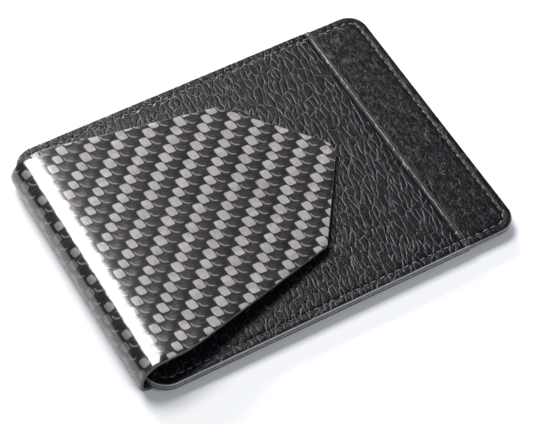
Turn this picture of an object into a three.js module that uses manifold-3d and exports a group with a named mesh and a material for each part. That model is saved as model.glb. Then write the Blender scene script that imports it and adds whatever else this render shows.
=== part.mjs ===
// Slim leather card holder with a one-piece carbon-fibre spring money clip round its short edge.
//
// Frame: millimetres. +X runs from the clip's bend to the pocket mouths, +Y to the far long edge, +Z up through
// the front face. The origin is the bottom centre of the bounding box, and the clip's lower leaf rests on Z = 0.

import * as THREE from "three";
import { mergeVertices } from "three/addons/utils/BufferGeometryUtils.js";
import Module from "manifold-3d";

const manifoldLibrary = await Module();
manifoldLibrary.setup();
const { Manifold, Mesh } = manifoldLibrary;

// ---- Driving dimensions ----------------------------------------------------

// Overall
const LENGTH = 94.75; // outermost line of the bend to the right-hand edge
const WIDTH = 71.0; // long edge to long edge

// Clip laminate and its bend
const LAMINATE = 0.75; // thickness of the carbon sheet
const CLIP_HEIGHT = 8.4; // underside of the lower leaf to the top of the bend
const UPPER_BEND_R = 5.1; // outer radius of the bend's upper half
const LOWER_BEND_R = 2.75; // outer radius of the bend's lower half
const SPLIT_GAP = 0.1; // slit between the clip's two bodies, on the bend's outermost line

// Clip outline, seen from above
const BEND_HALF_WIDTH = 31.0;
const CLIP_SHIFT_Y = -1.4; // clip's centre line at the bend, from the holder's centre line
const CLIP_SKEW = THREE.MathUtils.degToRad(3.1); // the outline is cut this much out of square with the bend
const OUTLINE_PIVOT = 4.4; // the outline's lengths start this far in from the bend's outermost line
const PARALLEL_LENGTH = 6.4; // the leaf keeps its full width this far
const SHOULDER_AT = 46.9;
const SHOULDER_HALF_WIDTH = 22.8;
const TIP_AT = 64.85; // sharp point that the rounded tip lies inside
const TIP_R = 4.0;
const SHOULDER_R = 1.5;
const FLARE_R = 25.0; // rounding where the sides start to taper
const LOWER_LEAF_LENGTH = 52.0;
const LOWER_LEAF_CORNER_R = 12.0;

// Leaf's fall towards the tip, along its length
const LEAF_SLOPE = 0.0755; // at the bend
const LEAF_HOLLOW = 0.00015; // per mm: the slope eases off towards the tip

// Leather stack, from the lower leaf upwards
const FILM = 0.15; // bonding film between the lower leaf and the leather
const PANEL = 0.32; // pocket panels
const LINING = 0.06; // cloth linings
const BASE = 0.58; // full-size base leathers
const CORE = 0.28; // stiffener

// Leather outline
const LEATHER_INSET = 2.05; // left leather edge, in from the outermost line of the bend
const LEFT_CORNER_R = 5.6;
const RIGHT_CORNER_R = 4.8;
const MOUTH_FROM_RIGHT = 13.4; // pocket mouths, in from the right-hand edge
const MOUTH_EDGE_R = 0.12; // rounding along a mouth's outer edge
const CREASE_FROM_MOUTH = 1.45; // creased line beside each mouth
const CREASE_WIDTH = 0.3;
const CREASE_DEPTH = 0.08;
const LINING_INSET = 0.4;
const CORE_INSET = 0.4;
const FILM_MARGIN = 4.0; // bonding film, in from the lower leaf's outline

// Stitching
const STITCH_INSET = 2.0; // seam line, in from the leather edge
const THREAD_WIDTH = 0.4;
const THREAD_HEIGHT = 0.12;
const THREAD_STEP_GAP = 0.05; // the thread hangs this far off a mouth edge where it steps down

// Facets
const BEND_STEPS = 16; // in each quarter of the bend
const LEAF_STEPS = 12; // along the leaf
const CORNER_STEPS = 8; // in each rounded corner

// ---- Derived places --------------------------------------------------------

const X_LEFT = -LENGTH / 2;
const X_RIGHT = LENGTH / 2;
const LEATHER_LEFT = X_LEFT + LEATHER_INSET;
const MOUTH_X = X_RIGHT - MOUTH_FROM_RIGHT;

const UPPER_BEND_Z = CLIP_HEIGHT - UPPER_BEND_R;
const SPLIT_Z = (UPPER_BEND_Z + LOWER_BEND_R) / 2;

const Z_BACK = LAMINATE + FILM; // underside of the leather
const Z_BACK_LINING = Z_BACK + PANEL;
const Z_BACK_BASE = Z_BACK_LINING + LINING;
const Z_CORE = Z_BACK_BASE + BASE;
const Z_FRONT_BASE = Z_CORE + CORE;
const Z_FRONT_LINING = Z_FRONT_BASE + BASE;
const Z_FRONT_PANEL = Z_FRONT_LINING + LINING;
const Z_FRONT = Z_FRONT_PANEL + PANEL;

// ---- Shape helpers ---------------------------------------------------------

// Points of a polygon whose corners, each [x, y, radius] and running anticlockwise, are rounded.
function roundedPolygon(corners) {
  const points = [];
  corners.forEach(([x, y, radius], i) => {
    const corner = new THREE.Vector2(x, y);
    if (radius === 0) {
      points.push(corner);
      return;
    }
    const [beforeX, beforeY] = corners.at(i - 1);
    const [afterX, afterY] = corners[(i + 1) % corners.length];
    const toBefore = new THREE.Vector2(beforeX, beforeY).sub(corner).normalize();
    const toAfter = new THREE.Vector2(afterX, afterY).sub(corner).normalize();
    const halfAngle = Math.acos(toBefore.dot(toAfter)) / 2;
    const bisector = toBefore.clone().add(toAfter).normalize();
    const centre = corner.clone().addScaledVector(bisector, radius / Math.sin(halfAngle));
    const start = corner.clone().addScaledVector(toBefore, radius / Math.tan(halfAngle));
    for (let k = 0; k <= CORNER_STEPS; k++) {
      points.push(start.clone().rotateAround(centre, ((Math.PI - 2 * halfAngle) * k) / CORNER_STEPS));
    }
  });
  return points;
}

// A flat slab with the given outline between two heights, with an optional hole.
function slab(outline, zLow, zHigh, hole = null) {
  const shape = new THREE.Shape(outline);
  if (hole) {
    shape.holes.push(new THREE.Path(hole));
  }
  const geometry = new THREE.ExtrudeGeometry(shape, { depth: zHigh - zLow, bevelEnabled: false });
  return geometry.translate(0, 0, zLow);
}

// A side profile of [x, z] points, swept right across the width and past both long edges.
function sweptProfile(points) {
  const shape = new THREE.Shape(points.map(([x, z]) => new THREE.Vector2(x, z)));
  const geometry = new THREE.ExtrudeGeometry(shape, { depth: WIDTH + 4, bevelEnabled: false });
  return geometry.rotateX(Math.PI / 2).translate(0, WIDTH / 2 + 2, 0);
}

function toSolid(geometry) {
  const bare = geometry.clone();
  bare.deleteAttribute("normal");
  bare.deleteAttribute("uv");
  const merged = mergeVertices(bare, 1e-5);
  const vertProperties = Float32Array.from(merged.attributes.position.array);
  const triVerts = Uint32Array.from(merged.index.array);
  return new Manifold(new Mesh({ numProp: 3, vertProperties, triVerts }));
}

function common(first, second) {
  const mesh = toSolid(first).intersect(toSolid(second)).getMesh();
  const geometry = new THREE.BufferGeometry();
  geometry.setAttribute("position", new THREE.BufferAttribute(Float32Array.from(mesh.vertProperties), 3));
  geometry.setIndex(new THREE.BufferAttribute(Uint32Array.from(mesh.triVerts), 1));
  return geometry;
}

// The leather's outline, drawn in by an inset and cut straight at the right-hand side when rightX is given.
function leatherOutline(inset, rightX = null) {
  const left = LEATHER_LEFT + inset;
  const right = rightX ?? X_RIGHT - inset;
  const rightR = rightX === null ? RIGHT_CORNER_R - inset : 0;
  const leftR = LEFT_CORNER_R - inset;
  const y = WIDTH / 2 - inset;
  return roundedPolygon([
    [left, -y, leftR],
    [right, -y, rightR],
    [right, y, rightR],
    [left, y, leftR],
  ]);
}

// Corners of the clip, lengths measured from the outline's pivot, turned into place by the skew.
function clipOutline(corners) {
  const pivotX = X_LEFT + OUTLINE_PIVOT;
  const turned = corners.map(([along, across, radius]) => {
    const point = new THREE.Vector2(along, across).rotateAround(new THREE.Vector2(0, 0), CLIP_SKEW);
    return [pivotX + point.x, CLIP_SHIFT_Y + point.y, radius];
  });
  return roundedPolygon(turned);
}

// ---- Clip ------------------------------------------------------------------

// Closed side profile of a sheet: outer points with their outward normals, [x, z, nx, nz].
function sheetProfile(outer) {
  const inner = outer.map(([x, z, nx, nz]) => [x - nx * LAMINATE, z - nz * LAMINATE]);
  return [...outer.map(([x, z]) => [x, z]), ...inner.reverse()];
}

function arcPoint(centreX, centreZ, radius, angle) {
  const nx = Math.cos(angle);
  const nz = Math.sin(angle);
  return [centreX + radius * nx, centreZ + radius * nz, nx, nz];
}

function clipLeafGeometry() {
  const centreX = X_LEFT + UPPER_BEND_R;
  const endAngle = Math.PI / 2 + Math.atan(-LEAF_SLOPE);
  const outer = [[X_LEFT, SPLIT_Z + SPLIT_GAP / 2, -1, 0]];
  for (let k = 0; k <= BEND_STEPS; k++) {
    const angle = Math.PI + ((endAngle - Math.PI) * k) / BEND_STEPS;
    outer.push(arcPoint(centreX, UPPER_BEND_Z, UPPER_BEND_R, angle));
  }
  const [joinX, joinZ] = outer.at(-1);
  for (let k = 1; k <= LEAF_STEPS; k++) {
    const along = (TIP_AT * k) / LEAF_STEPS;
    const slope = -LEAF_SLOPE + 2 * LEAF_HOLLOW * along;
    const z = joinZ - LEAF_SLOPE * along + LEAF_HOLLOW * along * along;
    const size = Math.hypot(slope, 1);
    outer.push([joinX + along, z, -slope / size, 1 / size]);
  }
  const outline = clipOutline([
    [-10, -BEND_HALF_WIDTH, 0],
    [PARALLEL_LENGTH, -BEND_HALF_WIDTH, FLARE_R],
    [SHOULDER_AT, -SHOULDER_HALF_WIDTH, SHOULDER_R],
    [TIP_AT, 0, TIP_R],
    [SHOULDER_AT, SHOULDER_HALF_WIDTH, SHOULDER_R],
    [PARALLEL_LENGTH, BEND_HALF_WIDTH, FLARE_R],
    [-10, BEND_HALF_WIDTH, 0],
  ]);
  return common(sweptProfile(sheetProfile(outer)), slab(outline, -1, CLIP_HEIGHT + 1));
}

function lowerLeafOutline(inset, start) {
  const half = BEND_HALF_WIDTH - inset;
  const end = LOWER_LEAF_LENGTH - inset;
  const cornerR = LOWER_LEAF_CORNER_R - inset;
  return clipOutline([
    [start, -half, 0],
    [end, -half, cornerR],
    [end, half, cornerR],
    [start, half, 0],
  ]);
}

function clipBaseGeometry() {
  const centreX = X_LEFT + LOWER_BEND_R;
  const outer = [[X_LEFT + LOWER_LEAF_LENGTH + 10, 0, 0, -1]];
  for (let k = 0; k <= BEND_STEPS; k++) {
    const angle = -Math.PI / 2 - (Math.PI / 2) * (k / BEND_STEPS);
    outer.push(arcPoint(centreX, LOWER_BEND_R, LOWER_BEND_R, angle));
  }
  outer.push([X_LEFT, SPLIT_Z - SPLIT_GAP / 2, -1, 0]);
  return common(sweptProfile(sheetProfile(outer)), slab(lowerLeafOutline(0, -10), -1, CLIP_HEIGHT));
}

function bondingFilmGeometry() {
  return slab(lowerLeafOutline(FILM_MARGIN, FILM_MARGIN), LAMINATE, Z_BACK);
}

// ---- Leather ---------------------------------------------------------------

// A pocket panel. Its mouth edge is rounded and a crease runs beside it, both on the side facing out.
function pocketPanelGeometry(zInner, zOuter) {
  const out = Math.sign(zOuter - zInner);
  const far = LEATHER_LEFT - 1;
  const crease = MOUTH_X - CREASE_FROM_MOUTH;
  const points = [
    [far, zInner],
    [MOUTH_X, zInner],
    [MOUTH_X, zOuter - out * MOUTH_EDGE_R],
    [MOUTH_X - MOUTH_EDGE_R * 0.3, zOuter - out * MOUTH_EDGE_R * 0.3],
    [MOUTH_X - MOUTH_EDGE_R, zOuter],
    [crease + CREASE_WIDTH / 2, zOuter],
    [crease, zOuter - out * CREASE_DEPTH],
    [crease - CREASE_WIDTH / 2, zOuter],
    [far, zOuter],
  ];
  const outline = slab(leatherOutline(0), -1, CLIP_HEIGHT);
  return common(sweptProfile(points), outline);
}

function liningGeometry(zLow) {
  return slab(leatherOutline(LINING_INSET, MOUTH_X - LINING_INSET), zLow, zLow + LINING);
}

// ---- Stitching -------------------------------------------------------------

// The seam's thread, lying on the pocket panel and stepping down to the base leather at the mouth.
function threadGeometry(zPanel, zBase) {
  const rise = Math.sign(zPanel - zBase) * THREAD_HEIGHT;
  const drop = MOUTH_X + THREAD_STEP_GAP;
  const band = [
    [X_LEFT, zPanel],
    [drop, zPanel],
    [drop, zBase],
    [X_RIGHT, zBase],
    [X_RIGHT, zBase + rise],
    [drop + THREAD_HEIGHT, zBase + rise],
    [drop + THREAD_HEIGHT, zPanel + rise],
    [X_LEFT, zPanel + rise],
  ];
  const outside = leatherOutline(STITCH_INSET - THREAD_WIDTH / 2);
  const inside = leatherOutline(STITCH_INSET + THREAD_WIDTH / 2);
  return common(sweptProfile(band), slab(outside, -1, CLIP_HEIGHT, inside));
}

// ---- Assembly --------------------------------------------------------------

const carbon = { color: 0x4a4846, roughness: 0.15, metalness: 0.2 };
const pebbled = { color: 0x17181b, roughness: 0.55, metalness: 0 };
const smooth = { color: 0x141518, roughness: 0.5, metalness: 0 };
const cloth = { color: 0x0c0c0d, roughness: 0.9, metalness: 0 };
const board = { color: 0x2a2a2c, roughness: 0.9, metalness: 0 };
const thread = { color: 0x1c1d20, roughness: 0.7, metalness: 0 };
const adhesive = { color: 0x9a9a96, roughness: 0.4, metalness: 0 };

const holder = new THREE.Group();

function add(name, geometry, finish) {
  const mesh = new THREE.Mesh(geometry, new THREE.MeshStandardMaterial(finish));
  mesh.name = name;
  holder.add(mesh);
}

add("clip_leaf", clipLeafGeometry(), carbon);
add("clip_base", clipBaseGeometry(), carbon);
add("clip_bonding_film", bondingFilmGeometry(), adhesive);
add("front_pocket_panel", pocketPanelGeometry(Z_FRONT_PANEL, Z_FRONT), pebbled);
add("front_pocket_lining", liningGeometry(Z_FRONT_LINING), cloth);
add("front_base_panel", slab(leatherOutline(0), Z_FRONT_BASE, Z_FRONT_LINING), smooth);
add("core_stiffener", slab(leatherOutline(CORE_INSET), Z_CORE, Z_FRONT_BASE), board);
add("back_base_panel", slab(leatherOutline(0), Z_BACK_BASE, Z_CORE), smooth);
add("back_pocket_lining", liningGeometry(Z_BACK_LINING), cloth);
add("back_pocket_panel", pocketPanelGeometry(Z_BACK_LINING, Z_BACK), pebbled);
add("front_thread", threadGeometry(Z_FRONT, Z_FRONT_LINING), thread);
add("back_thread", threadGeometry(Z_BACK, Z_BACK_BASE), thread);

export default holder;
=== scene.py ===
"""Looks for the slim leather card holder with a carbon money clip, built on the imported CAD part."""

import math
import random

import bpy
import numpy as np
from mathutils import Matrix, Vector, geometry

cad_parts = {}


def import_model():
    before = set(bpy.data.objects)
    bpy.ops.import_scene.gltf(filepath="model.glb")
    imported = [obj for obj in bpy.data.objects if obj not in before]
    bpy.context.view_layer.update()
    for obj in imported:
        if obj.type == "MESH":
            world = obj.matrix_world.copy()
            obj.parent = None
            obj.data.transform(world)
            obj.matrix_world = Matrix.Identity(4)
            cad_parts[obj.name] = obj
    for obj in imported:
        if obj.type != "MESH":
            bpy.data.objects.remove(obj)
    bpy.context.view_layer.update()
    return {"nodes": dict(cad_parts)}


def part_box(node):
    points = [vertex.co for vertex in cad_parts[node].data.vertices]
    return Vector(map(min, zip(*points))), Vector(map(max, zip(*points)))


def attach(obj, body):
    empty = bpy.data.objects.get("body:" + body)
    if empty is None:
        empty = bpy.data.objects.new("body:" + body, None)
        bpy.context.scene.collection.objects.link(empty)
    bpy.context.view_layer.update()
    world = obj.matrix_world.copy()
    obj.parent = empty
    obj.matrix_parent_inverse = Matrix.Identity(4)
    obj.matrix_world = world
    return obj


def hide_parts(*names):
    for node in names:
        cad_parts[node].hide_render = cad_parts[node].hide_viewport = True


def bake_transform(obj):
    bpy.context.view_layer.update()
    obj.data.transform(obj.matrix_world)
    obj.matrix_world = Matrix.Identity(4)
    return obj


MM = 0.001
random.seed(7)

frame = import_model()


def node_box(node):
    """Lowest and highest corner of a CAD node, in millimetres."""
    low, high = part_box(node)
    return np.array(low) / MM, np.array(high) / MM


# ---- Sizes, in millimetres, taken from the CAD where it states them ----------

PANEL_LOW, PANEL_HIGH = node_box("front_pocket_panel")
BASE_LOW, BASE_HIGH = node_box("front_base_panel")
BACK_BASE_LOW, BACK_BASE_HIGH = node_box("back_base_panel")
BACK_PANEL_LOW, BACK_PANEL_HIGH = node_box("back_pocket_panel")

X_LEFT = node_box("clip_leaf")[0][0]
CLIP_HEIGHT = 8.4
LEATHER_LEFT, LEATHER_RIGHT = BASE_LOW[0], BASE_HIGH[0]
HALF_WIDTH = BASE_HIGH[1]
MOUTH_X = PANEL_HIGH[0]
Z_FRONT = PANEL_HIGH[2]
LEFT_CORNER_R = 5.6
RIGHT_CORNER_R = 4.8

LAMINATE = 0.75
LAMINATE_ROUND = 0.09  # radius on the laminate's cut edges
UPPER_BEND_R = 5.1
LOWER_BEND_R = 2.75
LEAF_SLOPE = 0.0755
LEAF_HOLLOW = 0.00015
BEND_EASE = 0.12  # the slope still to be gained where the leaf leaves the bend's arc
BEND_EASE_LENGTH = 1.8
CLIP_SKEW = math.radians(3.1)
CLIP_SHIFT_Y = -1.4
OUTLINE_PIVOT = 4.4
BEND_HALF_WIDTH = 31.0
LOWER_LEAF_LENGTH = 52.0
LOWER_LEAF_CORNER_R = 12.0

# The top leaf's home-plate outline, as lengths from the pivot, with each corner's radius
CHEEK_START, CHEEK_R = 6.4, 25.0
SHOULDER_AT, SHOULDER_HALF_WIDTH, SHOULDER_R = 46.9, 22.8, 1.5
TIP_AT, TIP_R = 64.85, 4.0

TOW = 2.0  # pitch of the carbon weave
PALE_FLOAT_X = -7.275  # centre of one pale float
PALE_FLOAT_Y = -0.15

CREASE_X = MOUTH_X - 1.45  # line of the crease behind the pocket's turned mouth
CREASE_DEPTH, CREASE_SPREAD = 0.20, 0.24
BEAD_INLAND, BEAD_HEIGHT, BEAD_SPREAD = 0.50, 0.12, 0.27

STITCH_INSET = 2.0
STITCH_PITCH = 2.1
STITCH_MARGIN = 0.14  # bare part of the pitch at each end of a stitch
STITCH_LEAN = 0.10  # most that a stitch's ends stray sideways
THREAD_HALF_WIDTH, THREAD_HALF_HEIGHT = 0.19, 0.11
SEAM_DIP, SEAM_SPREAD = 0.10, 0.38
SEAM_INSETS = [1.2, 1.6, 1.85, 2.0, 2.15, 2.4, 2.8]  # where the leather's mesh follows the dip

ARC_STEP = 0.45  # spacing of points round an outline's corner


# ---- Mesh helpers ------------------------------------------------------------


def rounded_polygon(corners):
    """Points round a polygon, anticlockwise, with rounded corners. Each corner is (x, y, radius)."""
    points = []
    count = len(corners)
    for i, (x, y, radius) in enumerate(corners):
        corner = np.array([x, y], float)
        before = np.array(corners[i - 1][:2], float) - corner
        after = np.array(corners[(i + 1) % count][:2], float) - corner
        if radius <= 0:
            points.append(corner)
            continue
        before /= np.linalg.norm(before)
        after /= np.linalg.norm(after)
        half = math.acos(float(before @ after)) / 2
        bisector = (before + after) / np.linalg.norm(before + after)
        centre = corner + bisector * radius / math.sin(half)
        start = corner + before * radius / math.tan(half) - centre
        turn = math.pi - 2 * half
        steps = max(4, round(radius * turn / ARC_STEP), round(turn / math.radians(9)))
        for k in range(steps + 1):
            a = turn * k / steps
            c, s = math.cos(a), math.sin(a)
            points.append(centre + np.array([c * start[0] - s * start[1], s * start[0] + c * start[1]]))
    return np.array(points)


def resample(loop, step):
    """Splits a closed loop's long edges so that none is longer than step."""
    out = []
    for a, b in zip(loop, np.roll(loop, -1, axis=0)):
        pieces = max(1, math.ceil(np.linalg.norm(b - a) / step))
        out.extend(a + (b - a) * k / pieces for k in range(pieces))
    return np.array(out)


def inset_loop(loop, distance):
    """The closed anticlockwise loop moved inwards, mitred at its corners."""
    before = loop - np.roll(loop, 1, axis=0)
    after = np.roll(loop, -1, axis=0) - loop
    n1 = np.stack([-before[:, 1], before[:, 0]], 1) / np.linalg.norm(before, axis=1)[:, None]
    n2 = np.stack([-after[:, 1], after[:, 0]], 1) / np.linalg.norm(after, axis=1)[:, None]
    mitre = (n1 + n2) / (1 + (n1 * n2).sum(1))[:, None]
    return loop + mitre * distance


def depth_inside(points, loop):
    """How far each point is inside a closed loop; negative outside."""
    best = np.full(len(points), 1e9)
    inside = np.zeros(len(points), bool)
    for p, q in zip(loop, np.roll(loop, -1, axis=0)):
        d = q - p
        t = np.clip(((points - p) @ d) / (d @ d), 0, 1)
        best = np.minimum(best, np.linalg.norm(points - p - t[:, None] * d, axis=1))
        crosses = (p[1] > points[:, 1]) != (q[1] > points[:, 1])
        with np.errstate(divide="ignore", invalid="ignore"):
            x = p[0] + (points[:, 1] - p[1]) / (q[1] - p[1]) * d[0]
        inside ^= crosses & (points[:, 0] < x)
    return np.where(inside, best, -best)


def grid_inside(loop, du, dv, margin, us=None):
    """Grid points more than margin inside a closed loop. us gives the grid's lines when they aren't even."""
    low, high = loop.min(0), loop.max(0)
    us = np.arange(low[0] + du / 2, high[0], du) if us is None else np.array(us)
    vs = np.arange(low[1] + dv / 2, high[1], dv)
    points = np.stack(np.meshgrid(us, vs, indexing="ij"), -1).reshape(-1, 2)
    return points[depth_inside(points, loop) > margin]


def new_object(name, vertices, faces, materials, uv=None, face_material=None, sharp=35):
    """A mesh object from millimetre vertices. uv gives each vertex's place on the sheet, in millimetres."""
    mesh = bpy.data.meshes.new(name)
    mesh.from_pydata([tuple(v) for v in np.asarray(vertices) * MM], [], [tuple(f) for f in faces])
    for material in materials:
        mesh.materials.append(material)
    if face_material is not None:
        mesh.polygons.foreach_set("material_index", np.asarray(face_material, np.int32))
    if uv is not None:
        layer = mesh.uv_layers.new(name="sheet")
        index = np.zeros(len(mesh.loops), np.int32)
        mesh.loops.foreach_get("vertex_index", index)
        layer.data.foreach_set("uv", np.asarray(uv, np.float32)[index].ravel())
    mesh.validate()
    mesh.polygons.foreach_set("use_smooth", [True] * len(mesh.polygons))
    mesh.set_sharp_from_angle(angle=math.radians(sharp))
    mesh.update()
    obj = bpy.data.objects.new(name, mesh)
    bpy.context.scene.collection.objects.link(obj)
    return obj


def sheet_object(name, outline, rings, inner, place, materials, sharp):
    """A closed sheet. rings runs over the edge from the face to the back as (inset, depth). inner holds the
    face's inside points, and place(points, depth) gives their place in space."""
    loops = [inset_loop(outline, inset) for inset, _ in rings]
    n = len(outline)
    face_points = np.concatenate([loops[0], inner])
    edges = [(i, (i + 1) % n) for i in range(n)]
    made = geometry.delaunay_2d_cdt([Vector(p) for p in face_points], edges, [], 1, 1e-7)
    flat = np.array([tuple(v) for v in made[0]])
    first_of = [ids[0] if ids else -1 for ids in made[3]]
    triangles = [list(f) for f in made[2]]
    rank = {source: i for i, source in enumerate(first_of)}
    rim = [rank[i] for i in range(n)]
    front_count = len(flat)
    front = place(flat, np.full(front_count, rings[0][1]))
    back_flat = flat.copy()
    back_flat[rim] = loops[-1]
    back = place(back_flat, np.full(front_count, rings[-1][1]))
    vertices = [front, back]
    uvs = [flat, back_flat]
    faces = list(triangles)
    kinds = [0] * len(faces)
    faces += [[front_count + i for i in reversed(f)] for f in triangles]
    kinds += [0] * len(triangles)
    ring_ids = [rim]
    base = 2 * front_count
    for loop, (_, depth) in list(zip(loops, rings))[1:-1]:
        vertices.append(place(loop, np.full(n, depth)))
        uvs.append(loop)
        ring_ids.append(list(range(base, base + n)))
        base += n
    ring_ids.append([front_count + i for i in rim])
    for upper, lower in zip(ring_ids, ring_ids[1:]):
        for i in range(n):
            j = (i + 1) % n
            faces.append([upper[i], lower[i], lower[j], upper[j]])
            kinds.append(1)
    return new_object(name, np.concatenate(vertices), faces, materials, np.concatenate(uvs), kinds, sharp)


# ---- Material helpers ----------------------------------------------------------


BLACK_DYE = (0.0036, 0.0039, 0.0052)


class Shader:
    """A node material under construction. Sockets and plain numbers mix freely."""

    def __init__(self, name):
        self.material = bpy.data.materials.new(name)
        self.material.use_nodes = True
        self.tree = self.material.node_tree
        self.tree.nodes.clear()
        self.output = self.tree.nodes.new("ShaderNodeOutputMaterial")

    def put(self, value, socket):
        if isinstance(value, bpy.types.NodeSocket):
            self.tree.links.new(value, socket)
        else:
            socket.default_value = value

    def node(self, kind, inputs=None, out=0, **settings):
        made = self.tree.nodes.new(kind)
        for key, value in settings.items():
            setattr(made, key, value)
        for key, value in (inputs or {}).items():
            self.put(value, made.inputs[key])
        return made if out is None else made.outputs[out]

    def math(self, operation, *values):
        return self.node("ShaderNodeMath", dict(enumerate(values)), operation=operation)

    def add(self, a, b):
        return self.math("ADD", a, b)

    def sub(self, a, b):
        return self.math("SUBTRACT", a, b)

    def mul(self, a, b):
        return self.math("MULTIPLY", a, b)

    def absolute(self, value):
        return self.math("ABSOLUTE", value)

    def largest(self, a, b):
        return self.math("MAXIMUM", a, b)

    def step(self, value, low, high, to_low=0.0, to_high=1.0):
        """Smooth step of value from low to high, mapped to the range to_low to to_high."""
        inputs = {"Value": value, "From Min": low, "From Max": high, "To Min": to_low, "To Max": to_high}
        return self.node("ShaderNodeMapRange", inputs, interpolation_type="SMOOTHSTEP")

    def mix(self, factor, a, b):
        made = self.node("ShaderNodeMix", None, None, data_type="RGBA")
        self.put(factor, made.inputs["Factor"])
        self.put(a, made.inputs[6])
        self.put(b, made.inputs[7])
        return made.outputs[2]

    def grey(self, value):
        return self.node("ShaderNodeCombineColor", {0: value, 1: value, 2: value})

    def tinted(self, tint, scale):
        return self.node("ShaderNodeVectorMath", {0: tint, "Scale": scale}, operation="SCALE")

    def axes(self, vector):
        return tuple(self.node("ShaderNodeSeparateXYZ", {0: vector}, None).outputs)

    def sheet(self):
        """The place on the sheet, laid flat, in millimetres."""
        return self.axes(self.node("ShaderNodeUVMap", uv_map="sheet"))[:2]

    def place(self):
        """The place on the object, in metres."""
        return self.node("ShaderNodeTexCoord", None, None).outputs["Object"]

    def vector(self, x, y, z=0.0):
        return self.node("ShaderNodeCombineXYZ", {0: x, 1: y, 2: z})

    def noise(self, vector, scale, detail=2.0, roughness=0.5):
        inputs = {"Vector": vector, "Scale": scale, "Detail": detail, "Roughness": roughness}
        return self.node("ShaderNodeTexNoise", inputs, 0)

    def random(self, x, y):
        """One random value for each whole-numbered (x, y)."""
        return self.node("ShaderNodeTexWhiteNoise", {"Vector": self.vector(x, y)})

    def cell_edge(self, vector):
        """Distance from the nearest border of a flat pattern of random cells."""
        inputs = {"Vector": vector, "Scale": 1.0, "Randomness": 1.0}
        return self.node("ShaderNodeTexVoronoi", inputs, feature="DISTANCE_TO_EDGE", voronoi_dimensions="2D")

    def bump(self, height, strength, depth):
        inputs = {"Height": height, "Strength": strength, "Distance": depth * MM}
        return self.node("ShaderNodeBump", inputs)

    def finish(self, inputs):
        surface = self.node("ShaderNodeBsdfPrincipled", inputs)
        self.tree.links.new(surface, self.output.inputs["Surface"])
        return self.material


def colour(red, green, blue):
    return (red, green, blue, 1.0)


def tow_height(m, lengthwise, crosswise):
    """Height of a tow where it lies on top: an arch along the float, rounded across it."""
    arch = m.mul(m.math("COSINE", m.mul(lengthwise, math.pi / 2)), 0.5)
    return m.add(arch, m.mul(m.mul(crosswise, crosswise), -1.5))


def float_mask(m, column, across, along, swell, neighbour):
    """1 on the pale floats of the column that is neighbour columns away, which can reach into this one."""
    odd = m.math("PINGPONG", m.add(column, float(neighbour)), 1.0)
    beside = m.sub(across, float(neighbour))
    length = m.math("WRAP", m.sub(m.sub(along, column), float(neighbour)), 2.0, -2.0)
    lean = m.add(beside, m.mul(length, 0.15))
    wide = m.math("DIVIDE", lean, m.mul(swell, m.sub(0.585, m.mul(odd, 0.06))))
    long = m.math("DIVIDE", length, m.mul(swell, m.sub(0.72, m.mul(odd, 0.06))))
    oval = m.add(m.math("POWER", m.absolute(wide), 4.5), m.math("POWER", m.absolute(long), 4.0))
    return m.step(oval, 1.15, 0.72)


def painted_crescent_glint(m, q, r):
    """A painted highlight: a thin bright arc at one shoulder of each dark float, the one towards the light.
    It is in the colour, so it stays put when the light or view moves.
    """
    radius = 0.73
    x = m.mul(q, 1 / radius)
    y = m.mul(m.sub(r, 0.35), 1 / radius)
    ring = m.math("SQRT", m.add(m.mul(x, x), m.mul(y, y)))
    off_ring = m.math("POWER", m.absolute(m.mul(m.sub(ring, 1.0), 8.5)), 2.0)
    toward_light = m.sub(m.mul(x, -0.75), m.mul(y, 0.66))
    return m.mul(m.math("EXPONENT", m.mul(off_ring, -1.0)), m.step(toward_light, 0.50, 0.88))


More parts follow.
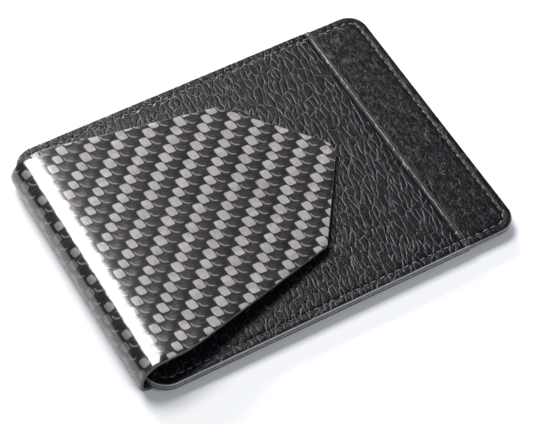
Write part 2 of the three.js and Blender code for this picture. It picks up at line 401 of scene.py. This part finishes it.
def carbon_material():
    """Clear-coated 2x2 twill. Where the crosswise tows lie on top they are painted pale, a painted reflection
    of the light off their fibres; where the lengthwise tows lie on top they stay dark, with painted glints,
    sheen, shade and crescent highlights.
    """
    m = Shader("carbon_twill")
    u, v = m.sheet()
    wander_u = m.noise(m.vector(m.mul(u, 0.05), m.mul(v, 0.05)), 1.0, 1.0)
    wander_v = m.noise(m.vector(m.mul(u, 0.06), m.mul(v, 0.06), 9.0), 1.0, 1.0)
    across = m.add(m.mul(m.sub(u, WEAVE_U), 1 / TOW), m.mul(m.sub(wander_u, 0.5), 0.25))
    along = m.add(m.mul(m.sub(v, PALE_FLOAT_Y), 1 / TOW), m.mul(m.sub(wander_v, 0.5), 0.25))

    # Places in tows: (s, t) across and along a pale float, (r, q) across and along a dark one
    column = m.math("FLOOR", m.add(across, 0.5))
    row = m.math("FLOOR", along)
    s = m.sub(across, column)
    t = m.math("WRAP", m.sub(along, column), 2.0, -2.0)
    r = m.sub(m.sub(along, row), 0.5)
    q = m.math("WRAP", m.add(m.sub(across, row), 1.5), 2.0, -2.0)

    near_bend = m.step(u, 18.0, 2.0)
    swell = m.sub(1.0, m.mul(near_bend, 0.14))
    own, left, right = (float_mask(m, column, s, along, swell, side) for side in (0, -1, 1))
    pale = m.largest(own, m.largest(left, right))

    pale_random = m.random(column, m.math("FLOOR", m.mul(m.sub(along, column), 0.25)))
    dark_random = m.random(m.add(row, 40.0), m.math("FLOOR", m.mul(m.sub(across, row), 0.25)))
    pale_fibre = m.noise(m.vector(m.mul(u, 5.0), m.mul(v, 0.5)), 1.0, 3.0, 0.6)
    dark_fibre = m.noise(m.vector(m.mul(u, 0.5), m.mul(v, 5.0), 4.0), 1.0, 3.0, 0.6)

    # Painted reflection: the pale tows' brightness stands in for the light their fibres reflect, streaked by
    # the fibres and with a random tone for each float.
    pale_painted_reflection = m.mul(m.add(0.02, m.mul(pale_fibre, 0.42)), m.add(0.86, m.mul(pale_random, 0.28)))
    # Painted shade: each pale float darkens towards its ends, where the tow dips under.
    pale_painted_reflection = m.mul(pale_painted_reflection, m.step(m.absolute(t), 1.05, 0.45, 0.72, 1.0))
    # Painted shade: the pale tows darken round the bend and under it, where the clip faces away from the
    # light.
    pale_painted_reflection = m.mul(pale_painted_reflection, m.step(u, -6.0, -0.5, 0.18, 1.0))

    # Painted glints: pale streaks where the dark tows' fibres would catch the light.
    dark_fibre_glint = m.largest(m.sub(m.mul(dark_fibre, 0.075), 0.028), 0.0)
    dark_value = m.mul(dark_fibre_glint, m.add(0.5, dark_random))
    # Painted highlight: the crescents are added to the dark tows' colour.
    dark_value = m.add(dark_value, m.mul(painted_crescent_glint(m, q, r), 0.16))
    # Painted sheen: a pale patch in the middle of each dark float stands in for light caught by the tow. It
    # is much stronger near the bend and left off round it.
    sheen = m.mul(m.step(m.absolute(m.add(q, 0.15)), 0.75, 0.0), m.step(m.absolute(r), 0.5, 0.1))
    sheen = m.mul(m.mul(sheen, dark_fibre), m.add(0.022, m.mul(near_bend, 0.10)))
    dark_value = m.add(dark_value, m.mul(sheen, m.step(u, -2.0, 0.5)))
    # Painted shade: each dark float is a little lighter towards one end, as if lit from that side.
    dark_value = m.add(dark_value, m.mul(m.step(q, 0.4, -1.0), 0.008))

    height = m.largest(m.sub(tow_height(m, t, s), 0.12), tow_height(m, q, r))
    fibres = m.mix(pale, m.grey(dark_fibre), m.grey(pale_fibre))
    relief = m.add(height, m.mul(m.node("ShaderNodeRGBToBW", {0: fibres}), 0.25))
    scratches = m.noise(m.vector(m.mul(u, 0.35), m.mul(v, 0.35), 2.0), 1.0, 4.0, 0.65)
    weave_depth = 0.12
    dark_colour = m.tinted((1.0, 0.93, 0.90), dark_value)
    pale_painted_reflection_colour = m.tinted((1.0, 0.945, 0.94), pale_painted_reflection)
    return m.finish({
        "Base Color": m.mix(pale, dark_colour, pale_painted_reflection_colour),
        "Roughness": 0.42,
        "Specular IOR Level": m.add(0.04, m.mul(pale, 0.3)),
        "Normal": m.bump(relief, 0.55, weave_depth),
        "Tangent": m.node("ShaderNodeTangent", direction_type="UV_MAP", uv_map="sheet"),
        "Anisotropic": 0.6,
        "Anisotropic Rotation": m.mul(pale, 0.25),
        "Coat Weight": 1.0,
        "Coat Roughness": m.add(0.12, m.mul(scratches, 0.05)),
        "Coat Normal": m.bump(height, 0.12, weave_depth),
        "Coat IOR": 1.78,
    })


def carbon_edge_material():
    """The laminate's cut edge: thin dark plies with a sanded sheen."""
    m = Shader("carbon_cut_edge")
    place = m.place()
    x, y, z = m.axes(place)
    plies = m.noise(m.vector(m.mul(x, 60.0), m.mul(y, 60.0), m.mul(z, 9000.0)), 1.0, 2.0)
    grain = m.noise(place, 2500.0, 3.0)
    return m.finish({
        "Base Color": m.grey(m.add(0.035, m.mul(m.mul(plies, grain), 0.12))),
        "Roughness": 0.42,
        "Specular IOR Level": 0.6,
        "Normal": m.bump(grain, 0.3, 0.03),
    })


def leather_material(name, cell, stretch, depth, fine, gloss, vein_highlight_gain, cells, seed, fold_at=None):
    """Black grained leather. cell is the pebbles' width in millimetres, and stretch is their length over it.
    cells is how far the pebbles show, from 0 to 1; where they don't, pale flecks and wisps take their place.
    Past fold_at the leather is turned over and its grain is pulled flat."""
    m = Shader(name)
    u, v = m.sheet()
    wobble_inputs = {"Vector": m.vector(m.mul(u, 0.45), m.mul(v, 0.30), seed), "Scale": 1.0, "Detail": 1.5,
                     "Roughness": 0.5}
    wobble = m.node("ShaderNodeTexNoise", wobble_inputs, 1)
    wobble_u, wobble_v, _ = m.node("ShaderNodeSeparateColor", {0: wobble}, None).outputs
    lean = m.sub(u, m.mul(v, 0.14))
    gx = m.mul(m.add(lean, m.mul(wobble_u, 2.0)), 1 / cell)
    gy = m.mul(m.add(v, m.mul(wobble_v, 3.0)), 1 / (cell * stretch))
    edge = m.cell_edge(m.vector(m.add(gx, seed * 7.0), gy))
    small_edge = m.cell_edge(m.vector(m.mul(gx, 2.4), m.add(m.mul(gy, 2.8), seed * 5.0)))
    patch = m.noise(m.vector(m.mul(u, 0.9), m.mul(v, 0.32), seed + 1.0), 1.0, 2.0)
    pores = m.noise(m.vector(m.mul(u, 4.5), m.mul(v, 3.4), seed), 1.0, 4.0, 0.75)

    fleck = m.noise(m.vector(m.mul(lean, 1.5), m.mul(v, 1.1), seed + 3.0), 1.0, 5.0, 0.72)
    drift = m.noise(m.vector(m.mul(lean, 0.55), m.mul(v, 0.30), seed + 9.0), 1.0, 3.0, 0.6)
    wisp = m.mul(m.step(m.absolute(m.sub(drift, 0.5)), 0.035, 0.0), m.step(pores, 0.35, 0.60))
    mottle_share = m.mul(m.step(patch, 0.35, 0.65, 0.45, 1.35), 1 - cells)
    mottle = m.mul(m.add(m.step(fleck, 0.40, 0.66), wisp), mottle_share)

    grain = 1.0
    if fold_at is not None:
        grain = m.step(u, fold_at, fold_at + 0.5, 1.0, 0.12)
    vein = m.mul(m.step(edge, 0.10, 0.0), m.step(patch, 0.42, 0.60, 0.05, 1.0))
    bright = m.mul(m.mul(vein, m.step(pores, 0.30, 0.62, 0.3, 1.0)), grain)
    small = m.mul(m.step(small_edge, 0.0, 0.22), m.step(patch, 0.65, 0.40, 0.2, 1.0))
    height = m.mul(m.add(m.mul(m.step(edge, 0.0, 0.15), 0.6), m.mul(edge, 0.5)), cells)
    height = m.add(height, m.add(m.mul(small, 0.35 * fine), m.mul(pores, 0.42)))
    height = m.add(height, m.mul(mottle, 0.35))

    # Painted highlight: the veins' colour is raised in proportion to the gain, standing in for light caught
    # on the groove walls. The rest is the pores' random tone.
    shade = m.add(m.step(pores, 0.25, 0.75, 0.4, 1.6), m.mul(bright, vein_highlight_gain))
    level = m.add(m.add(0.105 + 0.075 * cells, m.mul(bright, 0.42 * cells)), m.mul(mottle, 0.50))
    if fold_at is not None:
        creased = m.step(m.absolute(m.sub(u, fold_at - 0.4)), 0.5, 0.2)
        level = m.mul(level, m.sub(1.0, m.mul(creased, 0.85)))
        level = m.add(level, m.step(u, fold_at, fold_at + 0.5, 0.0, 0.3))
    facing = m.node("ShaderNodeLayerWeight", {"Blend": 0.5}, "Facing")
    return m.finish({
        "Base Color": m.tinted(BLACK_DYE, shade),
        "Roughness": m.add(gloss, m.mul(pores, 0.16)),
        "Specular IOR Level": m.mul(level, m.step(facing, 0.60, 0.95, 1.0, 0.12)),
        "Normal": m.bump(m.mul(height, grain), 1.0, depth),
    })


def edge_paint_material():
    """Burnished black edge paint, a little uneven, with paler bands down its height. The bands are partly the
    layers under it and partly painted highlight where their rounded edges catch the light.
    """
    m = Shader("leather_edge_paint")
    layer_pitch, first_layer = 0.95, Z_FRONT - 0.15
    place = m.place()
    wear = m.noise(place, 900.0, 3.0, 0.6)
    specks = m.noise(place, 5000.0, 2.0)
    depth = m.mul(m.sub(m.axes(place)[2], first_layer * MM), math.tau / (layer_pitch * MM))
    # Paler bands at an even pitch down the edge: partly the layers, partly painted highlight.
    layers = m.math("COSINE", m.add(depth, m.mul(wear, 0.9)))
    value = m.mul(m.add(0.05, m.mul(wear, 0.20)), m.step(layers, -0.2, 0.9, 0.5, 2.0))
    return m.finish({
        "Base Color": m.node("ShaderNodeCombineColor", {0: value, 1: value, 2: m.mul(value, 1.1)}),
        "Roughness": m.add(0.26, m.mul(wear, 0.2)),
        "Specular IOR Level": 0.8,
        "Normal": m.bump(m.add(wear, m.mul(specks, 0.4)), 0.4, 0.06),
    })


def thread_material():
    """Waxed black thread with its twist."""
    m = Shader("waxed_thread")
    u, v = m.sheet()
    twist = m.math("SINE", m.add(m.mul(u, 22.0), m.mul(v, math.tau)))
    fuzz = m.noise(m.vector(m.mul(u, 14.0), m.mul(v, 3.0)), 1.0, 3.0)
    return m.finish({
        "Base Color": m.grey(m.add(0.006, m.mul(fuzz, 0.03))),
        "Roughness": 0.32,
        "Specular IOR Level": 0.6,
        "Normal": m.bump(m.add(twist, fuzz), 0.5, 0.03),
    })


def hidden_layer_material(name, base, roughness, scale, depth, spread):
    """A hidden layer's board or film, with fine grain."""
    m = Shader(name)
    grain = m.noise(m.place(), scale, 4.0, 0.6)
    return m.finish({
        "Base Color": m.tinted(base, m.add(1 - spread / 2, m.mul(grain, spread))),
        "Roughness": roughness,
        "Normal": m.bump(grain, 0.5, depth),
    })


def cloth_material():
    """Thin lining cloth with a fine diagonal twill."""
    m = Shader("lining_twill")
    place = m.place()
    x, y, _ = m.axes(place)
    rib = m.math("SINE", m.mul(m.add(x, y), 12000.0))
    fuzz = m.noise(place, 4000.0, 3.0)
    return m.finish({
        "Base Color": m.grey(m.add(0.008, m.mul(m.add(m.mul(rib, 0.5), fuzz), 0.008))),
        "Roughness": 0.9,
        "Normal": m.bump(m.add(rib, fuzz), 0.6, 0.04),
    })


# ---- Carbon clip ---------------------------------------------------------------

BEND_TOP_X = X_LEFT + UPPER_BEND_R
BEND_TOP_Z = CLIP_HEIGHT - UPPER_BEND_R
TILT = math.atan(LEAF_SLOPE - BEND_EASE)
JOIN_X = BEND_TOP_X + UPPER_BEND_R * math.sin(TILT)
JOIN_Z = BEND_TOP_Z + UPPER_BEND_R * math.cos(TILT)
UPPER_ARC = UPPER_BEND_R * (math.pi / 2 + TILT)
STRAIGHT = BEND_TOP_Z - LOWER_BEND_R
LOWER_ARC = LOWER_BEND_R * math.pi / 2
BEND_ARC = UPPER_ARC + STRAIGHT + LOWER_ARC
WEAVE_U = PALE_FLOAT_X - JOIN_X  # the pale float's place on the clip laid flat


def clip_profile(u):
    """(x, z, nx, nz) of the clip's outer face at distance u along it. u is 0 where the leaf joins the bend,
    positive towards the tip, and negative round the bend to the lower leaf."""
    u = np.asarray(u, float)
    x, z, nx, nz = (np.zeros_like(u) for _ in range(4))
    leaf = u >= 0
    s = u[leaf]
    easing = np.exp(-s / BEND_EASE_LENGTH)
    slope = -LEAF_SLOPE + 2 * LEAF_HOLLOW * s + BEND_EASE * easing
    size = np.hypot(slope, 1)
    x[leaf] = JOIN_X + s
    z[leaf] = JOIN_Z - LEAF_SLOPE * s + LEAF_HOLLOW * s * s + BEND_EASE * BEND_EASE_LENGTH * (1 - easing)
    nx[leaf], nz[leaf] = -slope / size, 1 / size
    arc = (u < 0) & (u >= -UPPER_ARC)
    a = math.pi / 2 - TILT - u[arc] / UPPER_BEND_R
    nx[arc], nz[arc] = np.cos(a), np.sin(a)
    x[arc], z[arc] = BEND_TOP_X + UPPER_BEND_R * nx[arc], BEND_TOP_Z + UPPER_BEND_R * nz[arc]
    flat = (u < -UPPER_ARC) & (u >= -UPPER_ARC - STRAIGHT)
    x[flat], z[flat], nx[flat] = X_LEFT, BEND_TOP_Z + (u[flat] + UPPER_ARC), -1
    arc = (u < -UPPER_ARC - STRAIGHT) & (u >= -BEND_ARC)
    a = math.pi - (u[arc] + UPPER_ARC + STRAIGHT) / LOWER_BEND_R
    nx[arc], nz[arc] = np.cos(a), np.sin(a)
    x[arc], z[arc] = X_LEFT + LOWER_BEND_R + LOWER_BEND_R * nx[arc], LOWER_BEND_R + LOWER_BEND_R * nz[arc]
    low = u < -BEND_ARC
    x[low], nz[low] = X_LEFT + LOWER_BEND_R - (u[low] + BEND_ARC), -1
    return x, z, nx, nz


def turned(points):
    """Outline points, given along and across from the pivot, turned by the skew into the frame's x and y."""
    c, s = math.cos(CLIP_SKEW), math.sin(CLIP_SKEW)
    points = np.asarray(points, float)
    x = X_LEFT + OUTLINE_PIVOT + c * points[:, 0] - s * points[:, 1]
    y = CLIP_SHIFT_Y + s * points[:, 0] + c * points[:, 1]
    return np.stack([x, y], 1)


def clip_outline():
    """The whole clip's outline laid flat, as (distance along the profile, y)."""
    top = rounded_polygon([
        (0, -BEND_HALF_WIDTH, 0),
        (CHEEK_START, -BEND_HALF_WIDTH, CHEEK_R),
        (SHOULDER_AT, -SHOULDER_HALF_WIDTH, SHOULDER_R),
        (TIP_AT, 0, TIP_R),
        (SHOULDER_AT, SHOULDER_HALF_WIDTH, SHOULDER_R),
        (CHEEK_START, BEND_HALF_WIDTH, CHEEK_R),
        (0, BEND_HALF_WIDTH, 0),
    ])
    low = rounded_polygon([
        (0, -BEND_HALF_WIDTH, 0),
        (LOWER_LEAF_LENGTH, -BEND_HALF_WIDTH, LOWER_LEAF_CORNER_R),
        (LOWER_LEAF_LENGTH, BEND_HALF_WIDTH, LOWER_LEAF_CORNER_R),
        (0, BEND_HALF_WIDTH, 0),
    ])[::-1]
    top_xy = turned(top)
    top_uv = np.stack([top_xy[:, 0] - JOIN_X, top_xy[:, 1]], 1)
    top_uv = top_uv[top_uv[:, 0] > 0.3]
    low_xy = turned(low)
    low_uv = np.stack([-BEND_ARC - (low_xy[:, 0] - X_LEFT - LOWER_BEND_R), low_xy[:, 1]], 1)
    low_uv = low_uv[low_uv[:, 0] < -BEND_ARC - 0.3]
    bend_u = np.linspace(0, -BEND_ARC, 61)
    bend_x = clip_profile(bend_u)[0]
    lean = math.tan(CLIP_SKEW)
    half = BEND_HALF_WIDTH / math.cos(CLIP_SKEW)
    centre = CLIP_SHIFT_Y + (bend_x - X_LEFT - OUTLINE_PIVOT) * lean
    far_side = np.stack([bend_u, centre + half], 1)
    near_side = np.stack([bend_u, centre - half], 1)[::-1]
    return resample(np.concatenate([near_side, top_uv, far_side, low_uv]), 1.0)


def place_clip(points, depth):
    """Points of the flat clip, depth under its outer face, wrapped round the bend."""
    x, z, nx, nz = clip_profile(points[:, 0])
    return np.stack([x - nx * depth, points[:, 1], z - nz * depth], 1)


carbon = carbon_material()
carbon_edge = carbon_edge_material()
outline = clip_outline()
face_round = [(LAMINATE_ROUND, 0.0), (0.025, 0.025), (0.0, LAMINATE_ROUND)]
clip_rings = face_round + [(inset, LAMINATE - depth) for inset, depth in reversed(face_round)]
bend_lines = np.linspace(-BEND_ARC, 0, 61)
leaf_lines = np.arange(1.0, 66.0, 1.0)
low_lines = np.arange(-BEND_ARC - 1.5, -BEND_ARC - LOWER_LEAF_LENGTH, -1.5)
clip_inner = grid_inside(outline, 1, 1.5, 0.45, np.concatenate([low_lines[::-1], bend_lines, leaf_lines]))
clip = sheet_object("carbon_clip", outline, clip_rings, clip_inner, place_clip, [carbon, carbon_edge], 30)
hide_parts("clip_leaf", "clip_base")
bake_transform(clip)


# ---- Leather -------------------------------------------------------------------


def leather_outline(right=LEATHER_RIGHT, right_r=RIGHT_CORNER_R):
    """The leather's outline up to x = right."""
    corners = [
        (LEATHER_LEFT, -HALF_WIDTH, LEFT_CORNER_R),
        (right, -HALF_WIDTH, right_r),
        (right, HALF_WIDTH, right_r),
        (LEATHER_LEFT, HALF_WIDTH, LEFT_CORNER_R),
    ]
    return resample(rounded_polygon(corners), 0.8)


WHOLE = leather_outline()


def seam_dip(points):
    """How far the stitches pull the leather down along the seam."""
    inset = depth_inside(points, WHOLE)
    return SEAM_DIP * np.exp(-(((inset - STITCH_INSET) / SEAM_SPREAD) ** 2))


def leather_plate(name, outline, z_face, z_back, rings, materials, dip, extra, step):
    """A leather panel whose face is at z_face and back at z_back. dip(points) sinks the face, and extra holds
    mesh points that follow it more closely than the grid with its spacing of step."""
    sign = 1 if z_face > z_back else -1
    thickness = abs(z_face - z_back)

    def place(points, depth):
        sunk = dip(points) * np.clip(1 - depth / thickness, 0, 1)
        return np.stack([points[:, 0], points[:, 1], z_face - sign * (depth + sunk)], 1)

    inner = grid_inside(outline, step, step, step * 0.7)
    near = np.array([np.min(np.linalg.norm(extra - p, axis=1)) for p in inner])
    inner = np.concatenate([inner[near > step * 0.45], extra])
    obj = sheet_object(name, outline, rings, inner, place, materials, 40)
    if sign < 0:
        obj.data.flip_normals()
    return obj


def seam_points(outline):
    loops = [resample(inset_loop(WHOLE, inset), 0.9) for inset in SEAM_INSETS]
    points = np.concatenate(loops)
    return points[depth_inside(points, outline) > 0.25]


ROUNDED_EDGE = [(0.20, 0.0), (0.10, 0.03), (0.03, 0.10), (0.0, 0.2)]

pebbled = leather_material("pebbled_leather", cell=1.35, stretch=2.9, depth=0.08, fine=0.7, gloss=0.165,
                           vein_highlight_gain=8.0, cells=1.0, seed=1.0, fold_at=CREASE_X + 0.35)
smooth = leather_material("fine_grained_leather", cell=1.6, stretch=2.2, depth=0.05, fine=0.35, gloss=0.175,
                          vein_highlight_gain=1.0, cells=0.35, seed=20.0)
edge_paint = edge_paint_material()


def pocket_dip(points):
    """How far a pocket panel's face sinks: along the seam and in the crease, less the bead at the mouth."""
    inland = MOUTH_X - points[:, 0]
    crease = CREASE_DEPTH * np.exp(-(((points[:, 0] - CREASE_X) / CREASE_SPREAD) ** 2))
    bead = -BEAD_HEIGHT * np.exp(-(((inland - BEAD_INLAND) / BEAD_SPREAD) ** 2))
    return seam_dip(points) + crease + bead


def strip_dip(points):
    """How far a base panel's face sinks: along the seam, where no pocket covers it."""
    return np.where(points[:, 0] > MOUTH_X, seam_dip(points), 0.0)


def mouth_points(outline):
    ys = np.arange(-HALF_WIDTH + 0.3, HALF_WIDTH, 0.8)
    xs = [CREASE_X + 0.15 * k for k in range(-4, 9)]
    points = np.array([(x, y) for x in xs for y in ys])
    return points[depth_inside(points, outline) > 0.20]


def thin(points, gap):
    """Drops points closer than gap to one kept before."""
    kept = []
    cells = {}
    for p in points:
        key = (int(p[0] // gap), int(p[1] // gap))
        close = False
        for i in (-1, 0, 1):
            for j in (-1, 0, 1):
                for other in cells.get((key[0] + i, key[1] + j), ()):
                    if np.hypot(*(p - other)) < gap:
                        close = True
        if not close:
            cells.setdefault(key, []).append(p)
            kept.append(p)
    return np.array(kept)


def stand_for(obj, node):
    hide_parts(node)
    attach(obj, "holder")


def make_pocket(name, node, low, high, front):
    outline = leather_outline(MOUTH_X, 0)
    extra = thin(np.concatenate([mouth_points(outline), seam_points(outline)]), 0.09)
    z_face, z_back = (high[2], low[2]) if front else (low[2], high[2])
    rings = ROUNDED_EDGE + [(0.0, high[2] - low[2])]
    obj = leather_plate(name, outline, z_face, z_back, rings, [pebbled, edge_paint], pocket_dip, extra, 1.2)
    stand_for(obj, node)


def make_base(name, node, low, high, front):
    strip = seam_points(WHOLE)
    strip = thin(strip[strip[:, 0] > MOUTH_X - 1], 0.14)
    z_face, z_back = (high[2], low[2]) if front else (low[2], high[2])
    thickness = high[2] - low[2]
    rings = ROUNDED_EDGE + [(0.0, thickness - 0.16), (0.05, thickness - 0.05), (0.16, thickness)]
    obj = leather_plate(name, WHOLE, z_face, z_back, rings, [smooth, edge_paint], strip_dip, strip, 1.4)
    stand_for(obj, node)


make_base("front_base_leather", "front_base_panel", BASE_LOW, BASE_HIGH, True)
make_base("back_base_leather", "back_base_panel", BACK_BASE_LOW, BACK_BASE_HIGH, False)
make_pocket("front_pocket_leather", "front_pocket_panel", PANEL_LOW, PANEL_HIGH, True)
make_pocket("back_pocket_leather", "back_pocket_panel", BACK_PANEL_LOW, BACK_PANEL_HIGH, False)


# ---- Stitching -----------------------------------------------------------------


def stitches(name, node, z_main, z_strip, sign):
    """A row of separate stitches round the seam, each a short length of thread diving at both ends."""
    loop = inset_loop(WHOLE, STITCH_INSET)
    closed = np.concatenate([loop, loop[:1]])
    lengths = np.concatenate([[0], np.cumsum(np.linalg.norm(np.diff(closed, axis=0), axis=1))])
    total = lengths[-1]
    count = round(total / STITCH_PITCH)
    pitch = total / count
    sides = 8
    spans = 10
    vertices, faces, uvs = [], [], []
    for k in range(count):
        start = (k + STITCH_MARGIN) * pitch
        end = (k + 1 - STITCH_MARGIN) * pitch
        turn = random.uniform(-STITCH_LEAN, STITCH_LEAN)
        base = len(vertices)
        for i in range(spans + 1):
            f = i / spans
            d = start + (end - start) * f
            x = np.interp(d, lengths, closed[:, 0])
            y = np.interp(d, lengths, closed[:, 1])
            ahead = np.array([np.interp((d + 0.1) % total, lengths, closed[:, 0]) - x,
                              np.interp((d + 0.1) % total, lengths, closed[:, 1]) - y])
            ahead /= np.linalg.norm(ahead) + 1e-9
            side = np.array([-ahead[1], ahead[0]])
            place = np.array([x, y]) + side * (f - 0.5) * 2 * turn
            level = z_strip if place[0] > MOUTH_X + 0.1 else z_main
            hump = 4 * f * (1 - f)
            fullness = 0.35 + 0.65 * hump ** 0.4
            radius_w = THREAD_HALF_WIDTH * fullness
            radius_h = THREAD_HALF_HEIGHT * fullness
            centre_z = level + sign * (-0.13 + 0.10 * hump ** 0.7)
            for j in range(sides):
                a = 2 * math.pi * j / sides
                off = side * radius_w * math.cos(a)
                vertices.append((place[0] + off[0], place[1] + off[1], centre_z + radius_h * math.sin(a)))
                uvs.append((d, j / sides))
        for i in range(spans):
            for j in range(sides):
                a, b = base + i * sides + j, base + i * sides + (j + 1) % sides
                faces.append((a, b, b + sides, a + sides))
        faces.append([base + j for j in reversed(range(sides))])
        faces.append([base + spans * sides + j for j in range(sides)])
    stand_for(new_object(name, vertices, faces, [thread], uvs, None, 60), node)


thread = thread_material()
stitches("front_stitches", "front_thread", PANEL_HIGH[2], BASE_HIGH[2], 1)
stitches("back_stitches", "back_thread", BACK_PANEL_LOW[2], BACK_BASE_LOW[2], -1)


# ---- CAD nodes that keep their own shape -----------------------------------------


def dress(node, material):
    """Gives a CAD node its material and leaves its mesh as it is."""
    mesh = frame["nodes"][node].data
    mesh.materials.clear()
    mesh.materials.append(material)


dress("core_stiffener", hidden_layer_material("fibre_board", (0.045, 0.043, 0.04), 0.85, 1800.0, 0.05, 0.3))
dress("clip_bonding_film", hidden_layer_material("bonding_film", (0.22, 0.22, 0.21), 0.35, 700.0, 0.01, 0.15))
lining = cloth_material()
dress("front_pocket_lining", lining)
dress("back_pocket_lining", lining)


# ---- Stage, light and camera -------------------------------------------------------


def floor():
    """A pale square in a few large tiles."""
    half_size = 900.0
    tiles = 8
    lines = np.linspace(-half_size, half_size, tiles + 1)
    vertices = [(x, y, 0.0) for y in lines for x in lines]
    faces = []
    for row in range(tiles):
        for column in range(tiles):
            corner = row * (tiles + 1) + column
            faces.append((corner, corner + 1, corner + tiles + 2, corner + tiles + 1))
    m = Shader("pale_floor")
    pale = m.finish({"Base Color": colour(0.755, 0.765, 0.79), "Roughness": 0.9, "Specular IOR Level": 0.1})
    new_object("floor", vertices, faces, [pale])


def softbox(name, direction, distance, width, height, power, tint):
    """A rectangular area light that faces the object from a direction."""
    light = bpy.data.lights.new(name, "AREA")
    light.shape = "RECTANGLE"
    light.size = width * MM
    light.size_y = height * MM
    light.energy = power
    light.color = tint
    obj = bpy.data.objects.new(name, light)
    toward = Vector(direction).normalized()
    obj.location = toward * distance * MM
    wide = (Vector((1, 0, 0)) - toward * toward.x).normalized()
    turn = Matrix((wide, toward.cross(wide), toward)).transposed().to_4x4()
    obj.matrix_world = Matrix.Translation(obj.location) @ turn
    bpy.context.scene.collection.objects.link(obj)


def world(strength, backdrop, tint):
    """Dim surroundings for the reflections, with a pale backdrop behind the floor as the camera sees it."""
    made = bpy.data.worlds.new("studio")
    made.use_nodes = True
    tree = made.node_tree
    background = tree.nodes["Background"]
    background.inputs["Color"].default_value = colour(*tint)
    path = tree.nodes.new("ShaderNodeLightPath")
    blend = tree.nodes.new("ShaderNodeMapRange")
    blend.inputs["To Min"].default_value = strength
    blend.inputs["To Max"].default_value = backdrop
    tree.links.new(path.outputs["Is Camera Ray"], blend.inputs["Value"])
    tree.links.new(blend.outputs["Result"], background.inputs["Strength"])
    bpy.context.scene.world = made


def camera():
    """A long lens, 54 degrees above the horizon, from the near side and to the left."""
    back = CAMERA_BACK.normalized()
    right = (CAMERA_RIGHT - back * CAMERA_RIGHT.dot(back)).normalized()
    turn = Matrix((right, back.cross(right), back)).transposed()
    data = bpy.data.cameras.new("camera")
    data.sensor_width = 36.0
    data.sensor_fit = "HORIZONTAL"
    data.lens = CAMERA_LENS
    data.shift_x, data.shift_y = CAMERA_SHIFT
    data.clip_start = 0.01
    data.clip_end = 20
    obj = bpy.data.objects.new("camera", data)
    obj.matrix_world = Matrix.Translation(CAMERA_PLACE * MM) @ turn.to_4x4()
    bpy.context.scene.collection.objects.link(obj)
    bpy.context.scene.camera = obj


CAMERA_PLACE = Vector((-148.5, -237.0, 383.6))
CAMERA_BACK = Vector((-0.31968, -0.48919, 0.81148))
CAMERA_RIGHT = Vector((0.8646, -0.5011, 0.0385))
CAMERA_LENS = 141.465
CAMERA_SHIFT = (-0.02706, 0.00133)
WARM, COOL = (1.0, 0.99, 0.98), (0.94, 0.97, 1.0)

floor()
softbox("key", (-0.115, 0.54, 0.80), 600, 400, 235, 4.2, WARM)
softbox("back_key", (0.10, 0.92, 0.30), 1000, 560, 300, 16.0, WARM)
softbox("fill", (0.4, -0.80, 0.65), 900, 700, 500, 4.3, COOL)
world(0.13, 0.9, (0.93, 0.96, 1.0))
camera()
bpy.context.scene.view_settings.view_transform = "Standard"
